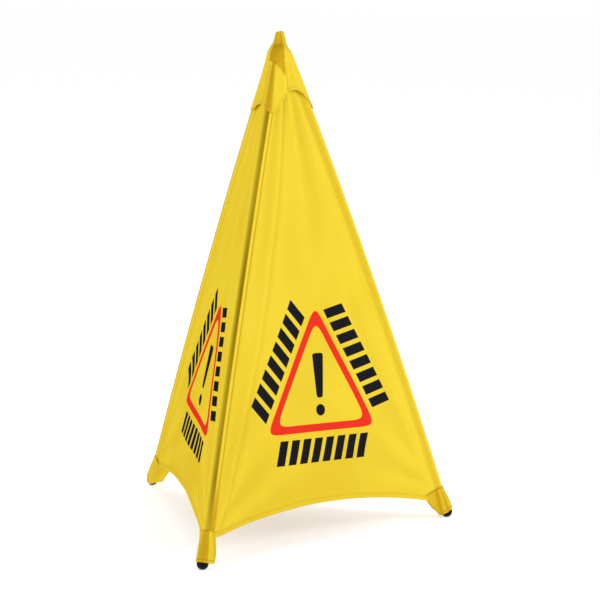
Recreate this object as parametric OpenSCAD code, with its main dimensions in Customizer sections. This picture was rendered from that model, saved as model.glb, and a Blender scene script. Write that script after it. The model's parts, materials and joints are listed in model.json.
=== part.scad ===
// Three-sided pop-up floor sign: a sewn fabric cone over a spring-open folding tripod.
// The floor is z = 0 and the tripod's axis is the Z axis, midway between the three feet.
// Leg 1 stands towards -Y. Legs 2 and 3 follow anticlockwise, seen from above.

/* [Overall] */
// Height of the whole sign, from the floor to the tip of the pull tab
total_h = 787; // [770:1:800]
// Distance from the tripod's axis to the centre of each foot
foot_r = 298; // [285:1:305]

/* [Top hub] */
// Distance from the axis to each leg's hinge pin
pivot_r = 14; // [13.5:0.5:15]
// Height from the hinge pins up to the tip of the tab
pivot_drop = 34; // [34:1:36]
// Diameter of the hub's central column
column_d = 14; // [12:0.5:14]
// Distance between the two ears of a lug
lug_gap = 8.5; // [8.5:0.1:9]
// Thickness of one ear
ear_t = 2; // [1.6:0.1:2]
// Diameter of the round end of an ear and of a leg's hinge barrel
barrel_d = 8; // [7:0.5:8]
// Diameter of a hinge pin
pin_d = 3; // [2.5:0.1:3]
// Diameter of the flange over the lugs
flange_d = 25; // [24:0.5:25]

/* [Springs] */
// Diameter of the spring wire
wire_d = 0.9; // [0.8:0.1:0.9]
// Mean diameter of the spring's coil
coil_d = 5.5; // [5.2:0.1:5.5]
// Whole turns in the coil, besides the part turn between the arms
coil_turns = 2; // [2:1:2]

/* [Legs] */
// Diameter of a leg rod
rod_d = 8; // [7:0.5:8]
// How far a rod bows outward at its middle, under the pull of the cover
leg_bow = 7.5; // [5:0.5:9]
// Outer diameter of the moulded socket on the top of a rod
socket_d = 9.8; // [9.6:0.1:9.8]
// Length of the socket
socket_l = 35; // [30:1:36]
// Diameter of the rivet through a socket and its rod
rivet_d = 2.5; // [2:0.1:3]

/* [Feet] */
// Diameter of a ball foot
ball_d = 18.4; // [17.5:0.1:18.6]
// Diameter of the small flat that a foot stands on
land_d = 6; // [5:0.5:7]
// Outer diameter of the collar that grips the rod
collar_d = 12; // [11:0.5:13]
// Length of the collar, from the middle of the ball
collar_l = 26; // [20:1:30]

/* [Cover] */
// Thickness of a cover panel
panel_t = 1.2; // [1:0.1:1.5]
// How far a panel stands outside the plane through the two legs
panel_out = 3.5; // [3:0.1:4]
// Height of a panel's top edge, under the hood
panel_top_z = 699; // [690:1:702]
// Height of a hem at the middle of its arch
hem_mid_z = 68; // [60:1:75]
// Height of a hem's ends
hem_end_z = 45; // [40:1:50]
// Thickness of the sleeve round a leg rod
sleeve_t = 0.9; // [0.7:0.1:1]
// Height of the lower end of a sleeve, along the leg from the middle of the foot
sleeve_end = 52; // [51:1:60]

/* [Corner pockets] */
// Outer radius of a pocket's round nose
pocket_r = 10.6; // [10.5:0.1:11]
// Depth of a pocket, inward from the middle of the foot
pocket_depth = 16; // [12:1:18]
// Angle at which a pocket's sides spread
pocket_spread = 12; // [6:1:14]
// Height of a pocket, along the leg
pocket_h = 48; // [40:1:50]
// Thickness of a pocket's wall
pocket_t = 1; // [0.8:0.1:1]

/* [Hood] */
// Height of the three points of the hood's lower edge
hood_z = 660; // [655:1:665]
// Thickness of the hood
hood_t = 1; // [0.8:0.1:1]
// Rise of the arches between the points
hood_arch = 38; // [30:1:42]

/* [Pull tab] */
// Width of the tab where it is sewn in
tab_w = 21; // [18:1:22]
// Width of the tab at its tip
tab_tip_w = 11; // [8:1:14]
// Thickness of the folded tab
tab_t = 3; // [2:0.5:4]

/* [Hidden] */
$fn = 64;

LEGS = 3;
pin_slack = 0.05;
snug = 0.02;
eps = 0.01;

foot_z = sqrt(pow(ball_d / 2, 2) - pow(land_d / 2, 2));
pivot_z = total_h - pivot_drop;
leg_run = foot_r - pivot_r;
leg_fall = pivot_z - foot_z;
leg_len = norm([leg_run, leg_fall]);
lean = atan(leg_run / leg_fall);
apex_z = pivot_z + pivot_r / tan(lean);

// A leg is an arc: its radius, and half the angle it spans
bow_r = (pow(leg_len / 2, 2) + pow(leg_bow, 2)) / (2 * leg_bow);
bow_half = asin(leg_len / 2 / bow_r);

// A side face of the cone: its slant from vertical, and half its angle at the apex
face_slant = atan(foot_r / 2 / (apex_z - foot_z));
face_half = atan(foot_r * sin(60) / norm([foot_r / 2, apex_z - foot_z]));

ear_y = lug_gap / 2;
web_half_h = barrel_d / 2 - 0.6;
web_l = pivot_r - 4.5;
flange_z = pivot_z + barrel_d / 2 + 0.3;
flange_t = 2.2;
column_base_z = pivot_z - 12;
cap_rise = 5;
cap_t = 1.8;
screw_d = 3.8;
screw_head_d = 6.8;
screw_head_h = 2;
screw_tip_z = pivot_z - 6;

barrel_l = lug_gap / 2 - 0.25;
coil_first_y = 0.2 + wire_d / 2;
coil_last_y = ear_y - 0.2 - wire_d / 2;
spring_foot_l = 14;
spring_tail_l = 11.5;
hook_slack = 0.15;

socket_top = 11;
rod_top = 17;
rivet_at = 30;
rivet_head_t = 0.8;
rivet_head_d = 4.6;
rod_end_gap = 4.5;

sleeve_top = 52;
sleeve_gap = 0.3;
leg_clear = rod_d / 2 + sleeve_gap + sleeve_t + 0.7;
pocket_clear = 15;
hem_half_chord = 225;

hood_top_z = pivot_z + 14;

function leg_angle(i) = -90 + 360 / LEGS * (i - 1);
// Place on the bowed leg at a distance from its hinge, in the leg's own frame
function bow_angle(s) = bow_half - s / bow_r * 180 / PI;
function leg_x(s) = bow_r * cos(bow_angle(s)) + leg_bow - bow_r;
function leg_z(s) = bow_r * sin(bow_angle(s)) - leg_len / 2;
// Distance of a straight leg's line from the axis at a height
function line_r(z) = (apex_z - z) * tan(lean);

// Hub frame at one leg: the hinge pin lies along Y and +X points outward
module at_pivot(i) {
    rotate([0, 0, leg_angle(i)])
        translate([pivot_r, 0, pivot_z])
            children();
}

// Leg frame: the foot lies straight down -Z from the hinge, and +X points outward
module at_leg(i) {
    at_pivot(i)
        rotate([0, -lean, 0])
            children();
}

// Foot frame: +Z points up along the end of the bowed leg
module at_foot(i) {
    at_leg(i)
        translate([0, 0, -leg_len])
            rotate([0, bow_half, 0])
                children();
}

// Face frame: -Z runs down the middle of the side after leg i, and +X is its outward normal
module at_face(i) {
    rotate([0, 0, leg_angle(i) + 180 / LEGS])
        translate([0, 0, apex_z])
            rotate([0, -face_slant, 0])
                children();
}

// Sweeps a profile along the bowed leg, between two distances from the hinge
module along_leg(from, to) {
    translate([leg_bow - bow_r, 0, -leg_len / 2])
        rotate([90, 0, 0])
            rotate_extrude(angle = bow_angle(from) - bow_angle(to), start = bow_angle(to), $fn = 256)
                translate([bow_r, 0])
                    children();
}

// A cylinder along Y, centred on y
module cross_rod(d, l, y = 0) {
    translate([0, y, 0])
        rotate([90, 0, 0])
            cylinder(d = d, h = l, center = true);
}

// One ear of a lug, centred on y: a round end on a web that joins the column and the flange
module ear(y) {
    translate([0, y + ear_t / 2, 0])
        rotate([90, 0, 0])
            linear_extrude(ear_t)
                difference() {
                    union() {
                        circle(d = barrel_d);
                        translate([-web_l, -web_half_h])
                            square([web_l, web_half_h + flange_z - pivot_z + flange_t / 2]);
                    }
                    circle(d = pin_d + 2 * snug);
                }
}

module top_hub() {
    color("dimgray")
        difference() {
            union() {
                translate([0, 0, column_base_z])
                    cylinder(d = column_d, h = flange_z + flange_t - column_base_z);
                translate([0, 0, flange_z])
                    rotate([0, 0, leg_angle(1) + 180])
                        cylinder(d = flange_d, h = flange_t);
                for (i = [1:LEGS])
                    at_pivot(i)
                        for (side = [-1, 1])
                            ear(side * (ear_y + ear_t / 2));
            }
            translate([0, 0, screw_tip_z - 1])
                cylinder(d = screw_d + 2 * snug, h = total_h);
            for (i = [1:LEGS])
                at_pivot(i)
                    translate([-spring_tail_l - 0.5, coil_last_y, -coil_d / 2])
                        rotate([0, 90, 0])
                            cylinder(d = wire_d + 2 * hook_slack, h = column_d / 2 + 1);
        }
}

module hub_cap() {
    base_z = flange_z + flange_t;
    dome_r = (pow(flange_d / 2, 2) + pow(cap_rise, 2)) / (2 * cap_rise);
    color("dimgray")
        difference() {
            intersection() {
                translate([0, 0, base_z + cap_rise - dome_r])
                    sphere(r = dome_r, $fn = 128);
                translate([0, 0, base_z])
                    cylinder(d = flange_d + 1, h = cap_rise + 1);
            }
            difference() {
                translate([0, 0, base_z + cap_rise - dome_r])
                    sphere(r = dome_r - cap_t, $fn = 128);
                translate([0, 0, base_z])
                    cylinder(d = screw_head_d + 2, h = cap_rise);
            }
            translate([0, 0, base_z - 1])
                cylinder(d = screw_d + 0.4, h = cap_rise + 2);
            translate([0, 0, base_z + cap_rise - screw_head_h])
                cylinder(d = screw_head_d + 0.6, h = screw_head_h + 1);
        }
}

module cap_screw() {
    head_z = flange_z + flange_t + cap_rise - screw_head_h;
    color("silver")
        difference() {
            union() {
                translate([0, 0, head_z])
                    cylinder(d = screw_head_d, h = screw_head_h - 0.3);
                translate([0, 0, screw_tip_z])
                    cylinder(d = screw_d, h = head_z - screw_tip_z + eps);
            }
            for (turn = [0, 90])
                translate([0, 0, head_z + screw_head_h])
                    rotate([0, 0, turn])
                        cube([4, 0.9, 2.4], center = true);
        }
}

module hinge_pins() {
    head_t = 0.8;
    head_d = pin_d + 1.8;
    outer_y = ear_y + ear_t;
    color("silver")
        for (i = [1:LEGS])
            at_pivot(i) {
                cross_rod(pin_d, 2 * outer_y + 2 * eps);
                for (side = [-1, 1])
                    cross_rod(head_d, head_t, side * (outer_y + head_t / 2));
            }
}

// Spring wire: up along the leg, round the pin, then inward to the hub's column
coil_start = 180 + lean;
coil_sweep = coil_start - 270 + 360 * (coil_turns + 1);
coil_steps = 22 * (coil_turns + 1);
function coil_point(k) =
    let (a = coil_start - coil_sweep * k / coil_steps)
    [
        coil_d / 2 * cos(a),
        coil_first_y + (coil_last_y - coil_first_y) * k / coil_steps,
        coil_d / 2 * sin(a)
    ];
wire_path = concat(
    [coil_point(0) + spring_foot_l * [sin(lean), 0, -cos(lean)]],
    [for (k = [0:coil_steps]) coil_point(k)],
    [coil_point(coil_steps) - [spring_tail_l, 0, 0]]
);

function unit(v) = v / norm(v);
function tangent(path, k) = unit(path[min(k + 1, len(path) - 1)] - path[max(k - 1, 0)]);

module wire_along(path, d, sides) {
    rings = [
        for (k = [0:len(path) - 1])
            let (t = tangent(path, k), u = unit(cross(t, [0, 1, 0])), v = cross(t, u))
                for (j = [0:sides - 1])
                    path[k] + d / 2 * (cos(360 * j / sides) * u + sin(360 * j / sides) * v)
    ];
    last = (len(path) - 1) * sides;
    walls = [
        for (k = [0:len(path) - 2])
            for (j = [0:sides - 1])
                let (a = k * sides + j, b = k * sides + (j + 1) % sides)
                    [a, b, b + sides, a + sides]
    ];
    caps = [[for (j = [0:sides - 1]) sides - 1 - j], [for (j = [0:sides - 1]) last + j]];
    polyhedron(points = rings, faces = concat(walls, caps));
}

module torsion_spring(i) {
    color("silver")
        at_pivot(i)
            wire_along(wire_path, wire_d, 8);
}

module leg_socket(i) {
    barrel_y = -(lug_gap / 2 - 0.15) + barrel_l / 2;
    color("dimgray")
        at_leg(i)
            difference() {
                union() {
                    cross_rod(barrel_d, barrel_l, barrel_y);
                    translate([-3, barrel_y - barrel_l / 2, -socket_top - 1])
                        cube([6, barrel_l, socket_top + 1]);
                    along_leg(socket_top, socket_top + socket_l)
                        circle(d = socket_d);
                }
                cross_rod(pin_d + 2 * pin_slack, 2 * barrel_l, barrel_y);
                along_leg(rod_top, socket_top + socket_l + 2)
                    circle(d = rod_d + 2 * snug);
                translate([-coil_d / 2, coil_first_y, -spring_foot_l - 0.5])
                    cylinder(d = wire_d + 2 * hook_slack, h = spring_foot_l);
                translate([leg_x(rivet_at), 0, leg_z(rivet_at)])
                    cross_rod(rivet_d + 2 * snug, 2 * socket_d);
            }
}

module leg_rod(i) {
    color("dimgray")
        at_leg(i)
            difference() {
                along_leg(rod_top, leg_len - rod_end_gap)
                    circle(d = rod_d);
                translate([leg_x(rivet_at), 0, leg_z(rivet_at)])
                    cross_rod(rivet_d + 2 * snug, 2 * socket_d);
            }
}

module rod_rivet(i) {
    color("silver")
        at_leg(i)
            translate([leg_x(rivet_at), 0, leg_z(rivet_at)]) {
                cross_rod(rivet_d, socket_d + 2 * eps);
                for (side = [-1, 1])
                    cross_rod(rivet_head_d, rivet_head_t, side * (socket_d + rivet_head_t) / 2);
            }
}

module foot_tip(i) {
    color("black")
        difference() {
            at_leg(i)
                difference() {
                    union() {
                        translate([0, 0, -leg_len])
                            sphere(d = ball_d, $fn = 96);
                        along_leg(leg_len - collar_l, leg_len - 2)
                            circle(d = collar_d);
                    }
                    along_leg(leg_len - collar_l - 2, leg_len - rod_end_gap)
                        circle(d = rod_d + 2 * snug);
                }
            translate([0, 0, -ball_d])
                linear_extrude(ball_d)
                    circle(r = 2 * foot_r);
        }
}

module leg_sleeve(i) {
    inner_d = rod_d + 2 * sleeve_gap;
    color("gold")
        at_leg(i)
            along_leg(sleeve_top, leg_len - sleeve_end)
                difference() {
                    circle(d = inner_d + 2 * sleeve_t);
                    circle(d = inner_d);
                }
}

// Round nose with two straight sides that spread inward, cut off flat
module pocket_outline(r, depth) {
    half_turn = 90 - pocket_spread;
    back_half = (r + depth * sin(pocket_spread)) / cos(pocket_spread);
    nose = [for (k = [-12:12]) r * [cos(half_turn * k / 12), sin(half_turn * k / 12)]];
    polygon(concat(nose, [[-depth, back_half], [-depth, -back_half]]));
}

module corner_pocket(i) {
    color("gold")
        at_foot(i)
            translate([0, 0, 1])
                linear_extrude(pocket_h)
                    difference() {
                        pocket_outline(pocket_r, pocket_depth);
                        pocket_outline(pocket_r - pocket_t, pocket_depth - pocket_t);
                    }
}

// Down the slant of a face from the apex to a height
function slant(z) = (apex_z - z) / cos(face_slant);

module panel_outline() {
    top = slant(panel_top_z);
    base = slant(hem_end_z);
    mid = slant(hem_mid_z);
    sagitta = base - mid;
    arch_r = (pow(hem_half_chord, 2) + pow(sagitta, 2)) / (2 * sagitta);
    difference() {
        polygon([
            [-top * tan(face_half), -top],
            [top * tan(face_half), -top],
            [base * tan(face_half), -base],
            [-base * tan(face_half), -base]
        ]);
        translate([0, -mid - arch_r])
            circle(r = arch_r, $fn = 256);
    }
}

module cover_panel(i) {
    color("gold")
        difference() {
            at_face(i)
                translate([panel_out - panel_t / 2, 0, 0])
                    rotate([90, 0, 90])
                        linear_extrude(panel_t)
                            panel_outline();
            for (leg = [i, i + 1]) {
                at_leg(leg)
                    translate([-60, -leg_clear, -leg_len - 50])
                        cube([120, 2 * leg_clear, leg_len]);
                at_leg(leg)
                    translate([-60, -pocket_clear, -leg_len - 50])
                        cube([120, 2 * pocket_clear, 50 + pocket_h + 8]);
            }
        }
}

// The hood's cross-section is a triangle with round corners. These give, by height, how far the
// middle of a corner's round lies from the axis, and the radius of that round.
hood_corner = [
    [hood_z - 6, line_r(hood_z - 6) + 2.5],
    [pivot_z - 12, line_r(pivot_z - 12) + 1.6],
    [pivot_z - 7, 13],
    [pivot_z + 2, 5],
    [hood_top_z, 2]
];
hood_round = [
    [hood_z - 6, 9.6],
    [pivot_z - 12, 6.8],
    [pivot_z - 7, 11],
    [pivot_z + 2, 15.5],
    [hood_top_z, 7]
];
hood_round_steps = 6;
hood_flat_steps = 6;
hood_side_points = hood_round_steps + hood_flat_steps;
hood_columns = LEGS * hood_side_points;
hood_rings = 9;

// How far along the straight side between two corners a column stands, from 0 to 1
function hood_along(k) = max(0, (k % hood_side_points - hood_round_steps) / hood_flat_steps);
function hood_edge_z(k) = hood_z + hood_arch * sin(180 * hood_along(k));
function round_point(corner, turn, z, shrink) =
    let (a = leg_angle(corner + 1), c = lookup(z, hood_corner), q = lookup(z, hood_round) - shrink)
    [c * cos(a) + q * cos(a + turn), c * sin(a) + q * sin(a + turn), z];
function hood_point(k, ring, shrink) =
    let (
        corner = floor(k / hood_side_points),
        step = k % hood_side_points,
        z = hood_edge_z(k) + (hood_top_z - shrink - hood_edge_z(k)) * ring / hood_rings,
        turn = 60 * (2 * min(step, hood_round_steps) / hood_round_steps - 1),
        t = hood_along(k)
    )
    (1 - t) * round_point(corner, turn, z, shrink) + t * round_point(corner + 1, -60, z, shrink);

module hood() {
    n = hood_columns;
    shell = (hood_rings + 1) * n;
    walls = [
        for (shrink = [0, hood_t])
            for (ring = [0:hood_rings])
                for (k = [0:n - 1])
                    hood_point(k, ring, shrink)
    ];
    middles = [[0, 0, hood_top_z], [0, 0, hood_top_z - hood_t]];
    outer = [
        for (ring = [0:hood_rings - 1])
            for (k = [0:n - 1])
                let (a = ring * n + k, b = ring * n + (k + 1) % n)
                    each [[a, a + n, b + n], [a, b + n, b]]
    ];
    inner = [for (f = outer) [for (j = [2:-1:0]) f[j] + shell]];
    rim = [
        for (k = [0:n - 1])
            let (b = (k + 1) % n)
                each [[k, b, b + shell], [k, b + shell, k + shell]]
    ];
    top = [
        for (k = [0:n - 1])
            let (a = hood_rings * n + k, b = hood_rings * n + (k + 1) % n)
                each [[b, a, 2 * shell], [a + shell, b + shell, 2 * shell + 1]]
    ];
    color("gold")
        polyhedron(points = concat(walls, middles), faces = concat(outer, inner, rim, top));
}

module pull_tab() {
    color("gold")
        rotate([90, 0, leg_angle(1) + 108])
            translate([0, 0, -tab_t / 2])
                linear_extrude(tab_t)
                    polygon([
                        [-tab_w / 2, hood_top_z],
                        [tab_w / 2, hood_top_z],
                        [tab_tip_w / 2 + 1, total_h],
                        [1 - tab_tip_w / 2, total_h - 2]
                    ]);
}

top_hub();
hub_cap();
cap_screw();
hinge_pins();
torsion_spring(1);  // torsion_spring_1
torsion_spring(2);  // torsion_spring_2
torsion_spring(3);  // torsion_spring_3
leg_socket(1);  // leg_socket_1
leg_socket(2);  // leg_socket_2
leg_socket(3);  // leg_socket_3
leg_rod(1);  // leg_rod_1
leg_rod(2);  // leg_rod_2
leg_rod(3);  // leg_rod_3
rod_rivet(1);  // rod_rivet_1
rod_rivet(2);  // rod_rivet_2
rod_rivet(3);  // rod_rivet_3
foot_tip(1);  // foot_tip_1
foot_tip(2);  // foot_tip_2
foot_tip(3);  // foot_tip_3
leg_sleeve(1);  // leg_sleeve_1
leg_sleeve(2);  // leg_sleeve_2
leg_sleeve(3);  // leg_sleeve_3
corner_pocket(1);  // corner_pocket_1
corner_pocket(2);  // corner_pocket_2
corner_pocket(3);  // corner_pocket_3
cover_panel(1);  // cover_panel_1
cover_panel(2);  // cover_panel_2
cover_panel(3);  // cover_panel_3
hood();
pull_tab();
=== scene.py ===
"""Looks for a three-sided pop-up floor sign: a sewn fabric cone over a folding tripod.

Everything is in metres, in the part's own frame: the floor is z = 0 and the tripod's axis is Z.
Leg 1 stands towards -Y, and legs 2 and 3 follow anticlockwise, seen from above.
"""

import json
import math

import bpy
import numpy as np
from mathutils import Matrix, Vector


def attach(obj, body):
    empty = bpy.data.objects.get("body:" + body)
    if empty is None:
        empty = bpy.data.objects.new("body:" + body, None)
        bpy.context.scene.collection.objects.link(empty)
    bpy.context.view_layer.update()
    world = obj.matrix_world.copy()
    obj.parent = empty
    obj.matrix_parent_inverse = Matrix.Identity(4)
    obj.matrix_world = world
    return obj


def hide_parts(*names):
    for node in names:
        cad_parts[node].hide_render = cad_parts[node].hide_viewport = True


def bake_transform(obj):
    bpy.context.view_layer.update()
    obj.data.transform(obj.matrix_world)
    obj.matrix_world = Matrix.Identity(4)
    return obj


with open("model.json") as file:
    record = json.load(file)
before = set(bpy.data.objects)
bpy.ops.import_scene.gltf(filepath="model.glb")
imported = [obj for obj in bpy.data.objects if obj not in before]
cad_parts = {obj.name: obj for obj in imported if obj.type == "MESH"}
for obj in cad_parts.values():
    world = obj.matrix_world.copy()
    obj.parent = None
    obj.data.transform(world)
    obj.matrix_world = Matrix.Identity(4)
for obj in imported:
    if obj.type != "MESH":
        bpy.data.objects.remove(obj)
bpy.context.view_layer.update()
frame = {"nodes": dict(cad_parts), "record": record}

MM = 0.001

# --- Camera, floor and light

CAMERA_AZIMUTH = math.radians(18.04)
CAMERA_HEIGHT_ANGLE = math.radians(9.95)
CAMERA_ROLL = math.radians(1.49)
CAMERA_DISTANCE = 3.949
CAMERA_FIELD = 2 * math.atan(300 / 2493)
AIM_HEIGHT = 0.3634
AIM_RIGHT = 0.0432

KEY_POWER = 40
KEY_COLOUR = (0.93, 1.0, 1.15)
FILL_POWER = 23
BACK_POWER = 26
AMBIENT = 0.60


def make_camera():
    a, e, roll = CAMERA_AZIMUTH, CAMERA_HEIGHT_ANGLE, CAMERA_ROLL
    back = Vector((math.sin(a) * math.cos(e), -math.cos(a) * math.cos(e), math.sin(e)))
    right = Vector((math.cos(a), math.sin(a), 0))
    up = back.cross(right)
    x_axis = math.cos(roll) * right + math.sin(roll) * up
    y_axis = back.cross(x_axis)
    aim = Vector((0, 0, AIM_HEIGHT)) + AIM_RIGHT * right
    data = bpy.data.cameras.new("camera")
    data.sensor_width = 36
    data.angle = CAMERA_FIELD
    data.dof.use_dof = False
    camera = bpy.data.objects.new("camera", data)
    bpy.context.collection.objects.link(camera)
    turn = Matrix((x_axis, y_axis, back)).transposed().to_4x4()
    camera.matrix_world = Matrix.Translation(aim + CAMERA_DISTANCE * back) @ turn
    bpy.context.scene.camera = camera


def make_floor():
    bpy.ops.mesh.primitive_circle_add(vertices=96, radius=14, fill_type="NGON")
    floor = bpy.context.object
    floor.name = "studio_floor"
    material = bpy.data.materials.new("studio_floor")
    material.use_nodes = True
    shader = material.node_tree.nodes["Principled BSDF"]
    shader.inputs["Base Color"].default_value = (0.72, 0.72, 0.72, 1)
    shader.inputs["Roughness"].default_value = 0.9
    shader.inputs["Specular IOR Level"].default_value = 0.0
    # A lit floor, like a light table's, keeps the backdrop white
    shader.inputs["Emission Color"].default_value = (1, 1, 1, 1)
    shader.inputs["Emission Strength"].default_value = 0.56
    floor.data.materials.append(material)


def make_light(name, place, aim, size, power, colour=(1, 1, 1)):
    data = bpy.data.lights.new(name, "AREA")
    data.size = size
    data.energy = power
    data.color = colour
    light = bpy.data.objects.new(name, data)
    light.location = place
    light.rotation_euler = (Vector(aim) - Vector(place)).to_track_quat("-Z", "Y").to_euler()
    bpy.context.collection.objects.link(light)


def make_lights():
    middle = (0, 0, 0.4)
    make_light("key", (2.9, 0.5, 1.7), middle, 1.1, KEY_POWER, KEY_COLOUR)
    make_light("fill", (-1.5, -2.9, 1.5), middle, 1.3, FILL_POWER)
    make_light("back", (-1.6, 2.6, 1.8), middle, 2.0, BACK_POWER)
    world = bpy.data.worlds.new("studio")
    world.use_nodes = True
    tree = world.node_tree
    background = tree.nodes["Background"]
    background.inputs["Color"].default_value = (1, 1, 1, 1)
    # The backdrop is seen white, and lights the object less than that
    path = tree.nodes.new("ShaderNodeLightPath")
    strength = tree.nodes.new("ShaderNodeMapRange")
    strength.inputs["To Min"].default_value = AMBIENT
    strength.inputs["To Max"].default_value = 1.0
    tree.links.new(path.outputs["Is Camera Ray"], strength.inputs["Value"])
    tree.links.new(strength.outputs["Result"], background.inputs["Strength"])
    bpy.context.scene.world = world
    bpy.context.scene.view_settings.view_transform = "Standard"


make_camera()
make_floor()
make_lights()

# --- Places, from the frame

LEGS = (1, 2, 3)
BALL_R = 9.2 * MM
LAND_R = 3 * MM
FOOT_Z = math.sqrt(BALL_R**2 - LAND_R**2)
BOW = 7.5 * MM

mounts = {m["name"]: m for m in frame["record"]["mounts"]}
joints = {j["name"]: j for j in frame["record"]["behaviour"]["joints"]}
foot_place = mounts["foot_1"]["pos_m"]
pivot_place = joints["leg_1_fold"]["pos_m"]
FOOT_R = math.hypot(*foot_place[:2])
PIVOT_R = math.hypot(*pivot_place[:2])
PIVOT_Z = pivot_place[2]
LEG_LENGTH = math.hypot(FOOT_R - PIVOT_R, PIVOT_Z - FOOT_Z)
LEAN = math.atan2(FOOT_R - PIVOT_R, PIVOT_Z - FOOT_Z)
APEX_Z = PIVOT_Z + PIVOT_R / math.tan(LEAN)
FACE_SLANT = math.atan(FOOT_R / 2 / (APEX_Z - FOOT_Z))


def per_leg(*values, unit=1):
    return {i: value * unit for i, value in zip(LEGS, values)}


def leg_angle(i):
    return math.radians(-90 + 120 * (i - 1))


def outward(angle):
    return np.array([math.cos(angle), math.sin(angle), 0.0])


def sideways(angle):
    return np.array([-math.sin(angle), math.cos(angle), 0.0])


UP = np.array([0, 0, 1.0])


def around(angle, beside, outside, z):
    """Places from how far they lie beside and along the direction at angle, and their heights."""
    axes = (sideways(angle), outward(angle), UP)
    return sum(np.multiply.outer(k, axis) for k, axis in zip((beside, outside, z), axes))


def leg_curve(t):
    """Radius and height of the bowed leg's middle at a share t of its length, from the hinge."""
    bow = BOW * 4 * t * (1 - t)
    radius = PIVOT_R + (FOOT_R - PIVOT_R) * t + bow * math.cos(LEAN)
    height = PIVOT_Z + (FOOT_Z - PIVOT_Z) * t + bow * math.sin(LEAN)
    return radius, height


_curve_r, _curve_z = leg_curve(np.linspace(-0.03, 1.03, 400))


def leg_radius(z):
    """Distance of a leg's middle from the axis at height z."""
    return np.interp(-np.asarray(z), -_curve_z, _curve_r)


THIRD = 2 * math.pi / 3
SIN_60 = math.sin(math.pi / 3)


def smooth(t):
    t = np.clip(t, 0, 1)
    return t * t * (3 - 2 * t)


def bump(x, middle, width):
    return np.exp(-(((x - middle) / width) ** 2))


# --- Meshes


def new_object(name, points, faces, material):
    mesh = bpy.data.meshes.new(name)
    mesh.from_pydata(points.reshape(-1, 3).tolist(), [], [tuple(f) for f in faces])
    mesh.shade_smooth()
    mesh.materials.append(material)
    mesh.update()
    made = bpy.data.objects.new(name, mesh)
    bpy.context.collection.objects.link(made)
    return made


def grid_faces(rows, columns, closed=False):
    """Four-sided faces over a grid of points that is stored row by row."""
    wide = columns if closed else columns - 1
    r, c = np.meshgrid(np.arange(rows - 1), np.arange(wide), indexing="ij")
    d = (c + 1) % columns
    corners = [r * columns + c, r * columns + d, (r + 1) * columns + d, (r + 1) * columns + c]
    return np.stack([k.ravel() for k in corners], axis=1)


def capped_faces(rows, columns):
    """Faces of a closed grid and of the strip that shuts its last row."""
    a = (rows - 1) * columns + np.arange(columns // 2 - 1)
    d = rows * columns - 1 - np.arange(columns // 2 - 1)
    cap = np.stack([a, a + 1, d - 1, d], axis=1)
    return np.concatenate([grid_faces(rows, columns, closed=True), cap])


def set_cloth_values(made, across, along, printed=0.0, rod=0.0, fold=0.0):
    """Stores each point's place on the cut cloth, its print and painted shade, for the materials.
    """
    names = ("across", "along", "printed", "rod_shade", "fold_shade")
    for name, value in zip(names, (across, along, printed, rod, fold)):
        values = np.broadcast_to(np.asarray(value, np.float32), np.shape(across)).ravel()
        made.data.attributes.new(name, "FLOAT", "POINT").data.foreach_set("value", values)


def thicken(made, thickness):
    """Gives the sheet its thickness, inward."""
    solid = made.modifiers.new("cloth", "SOLIDIFY")
    solid.thickness = thickness
    solid.offset = -1.0
    solid.use_even_offset = False


# --- Material nodes


class Nodes:
    """Short calls for the nodes that a procedural material is made of."""

    def __init__(self, name):
        self.material = bpy.data.materials.new(name)
        self.material.use_nodes = True
        self.tree = self.material.node_tree
        self.shader = self.tree.nodes["Principled BSDF"]

    def add(self, kind, **settings):
        node = self.tree.nodes.new(kind)
        for key, value in settings.items():
            setattr(node, key, value)
        return node

    def put(self, socket, value):
        if isinstance(value, bpy.types.NodeSocket):
            self.tree.links.new(value, socket)
        else:
            socket.default_value = value

    def run(self, kind, *values, **settings):
        """First result of a new node that has these values as its first inputs."""
        node = self.add(kind, **settings)
        for socket, value in zip(node.inputs, values):
            self.put(socket, value)
        return node.outputs[0]

    def math(self, operation, *values):
        return self.run("ShaderNodeMath", *values, operation=operation)

    def plus(self, a, b):
        return self.math("ADD", a, b)

    def less(self, a, b):
        return self.math("SUBTRACT", a, b)

    def times(self, a, b):
        return self.math("MULTIPLY", a, b)

    def size(self, a):
        return self.math("ABSOLUTE", a)

    def value(self, name):
        return self.add("ShaderNodeAttribute", attribute_name=name).outputs["Fac"]

    def place(self):
        return self.add("ShaderNodeTexCoord").outputs["Object"]

    def noise(self, where, scale, detail=3.0, roughness=0.5, stretch=None):
        if stretch:
            mapping = self.add("ShaderNodeMapping")
            self.put(mapping.inputs["Vector"], where)
            mapping.inputs["Scale"].default_value = stretch
            where = mapping.outputs[0]
        node = self.add("ShaderNodeTexNoise")
        self.put(node.inputs["Vector"], where)
        node.inputs["Scale"].default_value = scale
        node.inputs["Detail"].default_value = detail
        node.inputs["Roughness"].default_value = roughness
        return node.outputs["Fac"]

    def ramp(self, value, low, high, to_low=0.0, to_high=1.0):
        return self.run("ShaderNodeMapRange", value, low, high, to_low, to_high)

    def mix(self, factor, a, b):
        node = self.add("ShaderNodeMix", data_type="RGBA")
        self.put(node.inputs[0], factor)
        self.put(node.inputs[6], a)
        self.put(node.inputs[7], b)
        return node.outputs[2]

    def bumps(self, *layers):
        """Bump from several (height, strength, distance) layers, one over another."""
        normal = None
        for height, strength, distance in layers:
            node = self.add("ShaderNodeBump")
            self.put(node.inputs["Height"], height)
            node.inputs["Strength"].default_value = strength
            node.inputs["Distance"].default_value = distance
            if normal is not None:
                self.put(node.inputs["Normal"], normal)
            normal = node.outputs[0]
        self.put(self.shader.inputs["Normal"], normal)

    def set(self, **sockets):
        for name, value in sockets.items():
            self.put(self.shader.inputs[name.replace("_", " ")], value)


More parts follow.
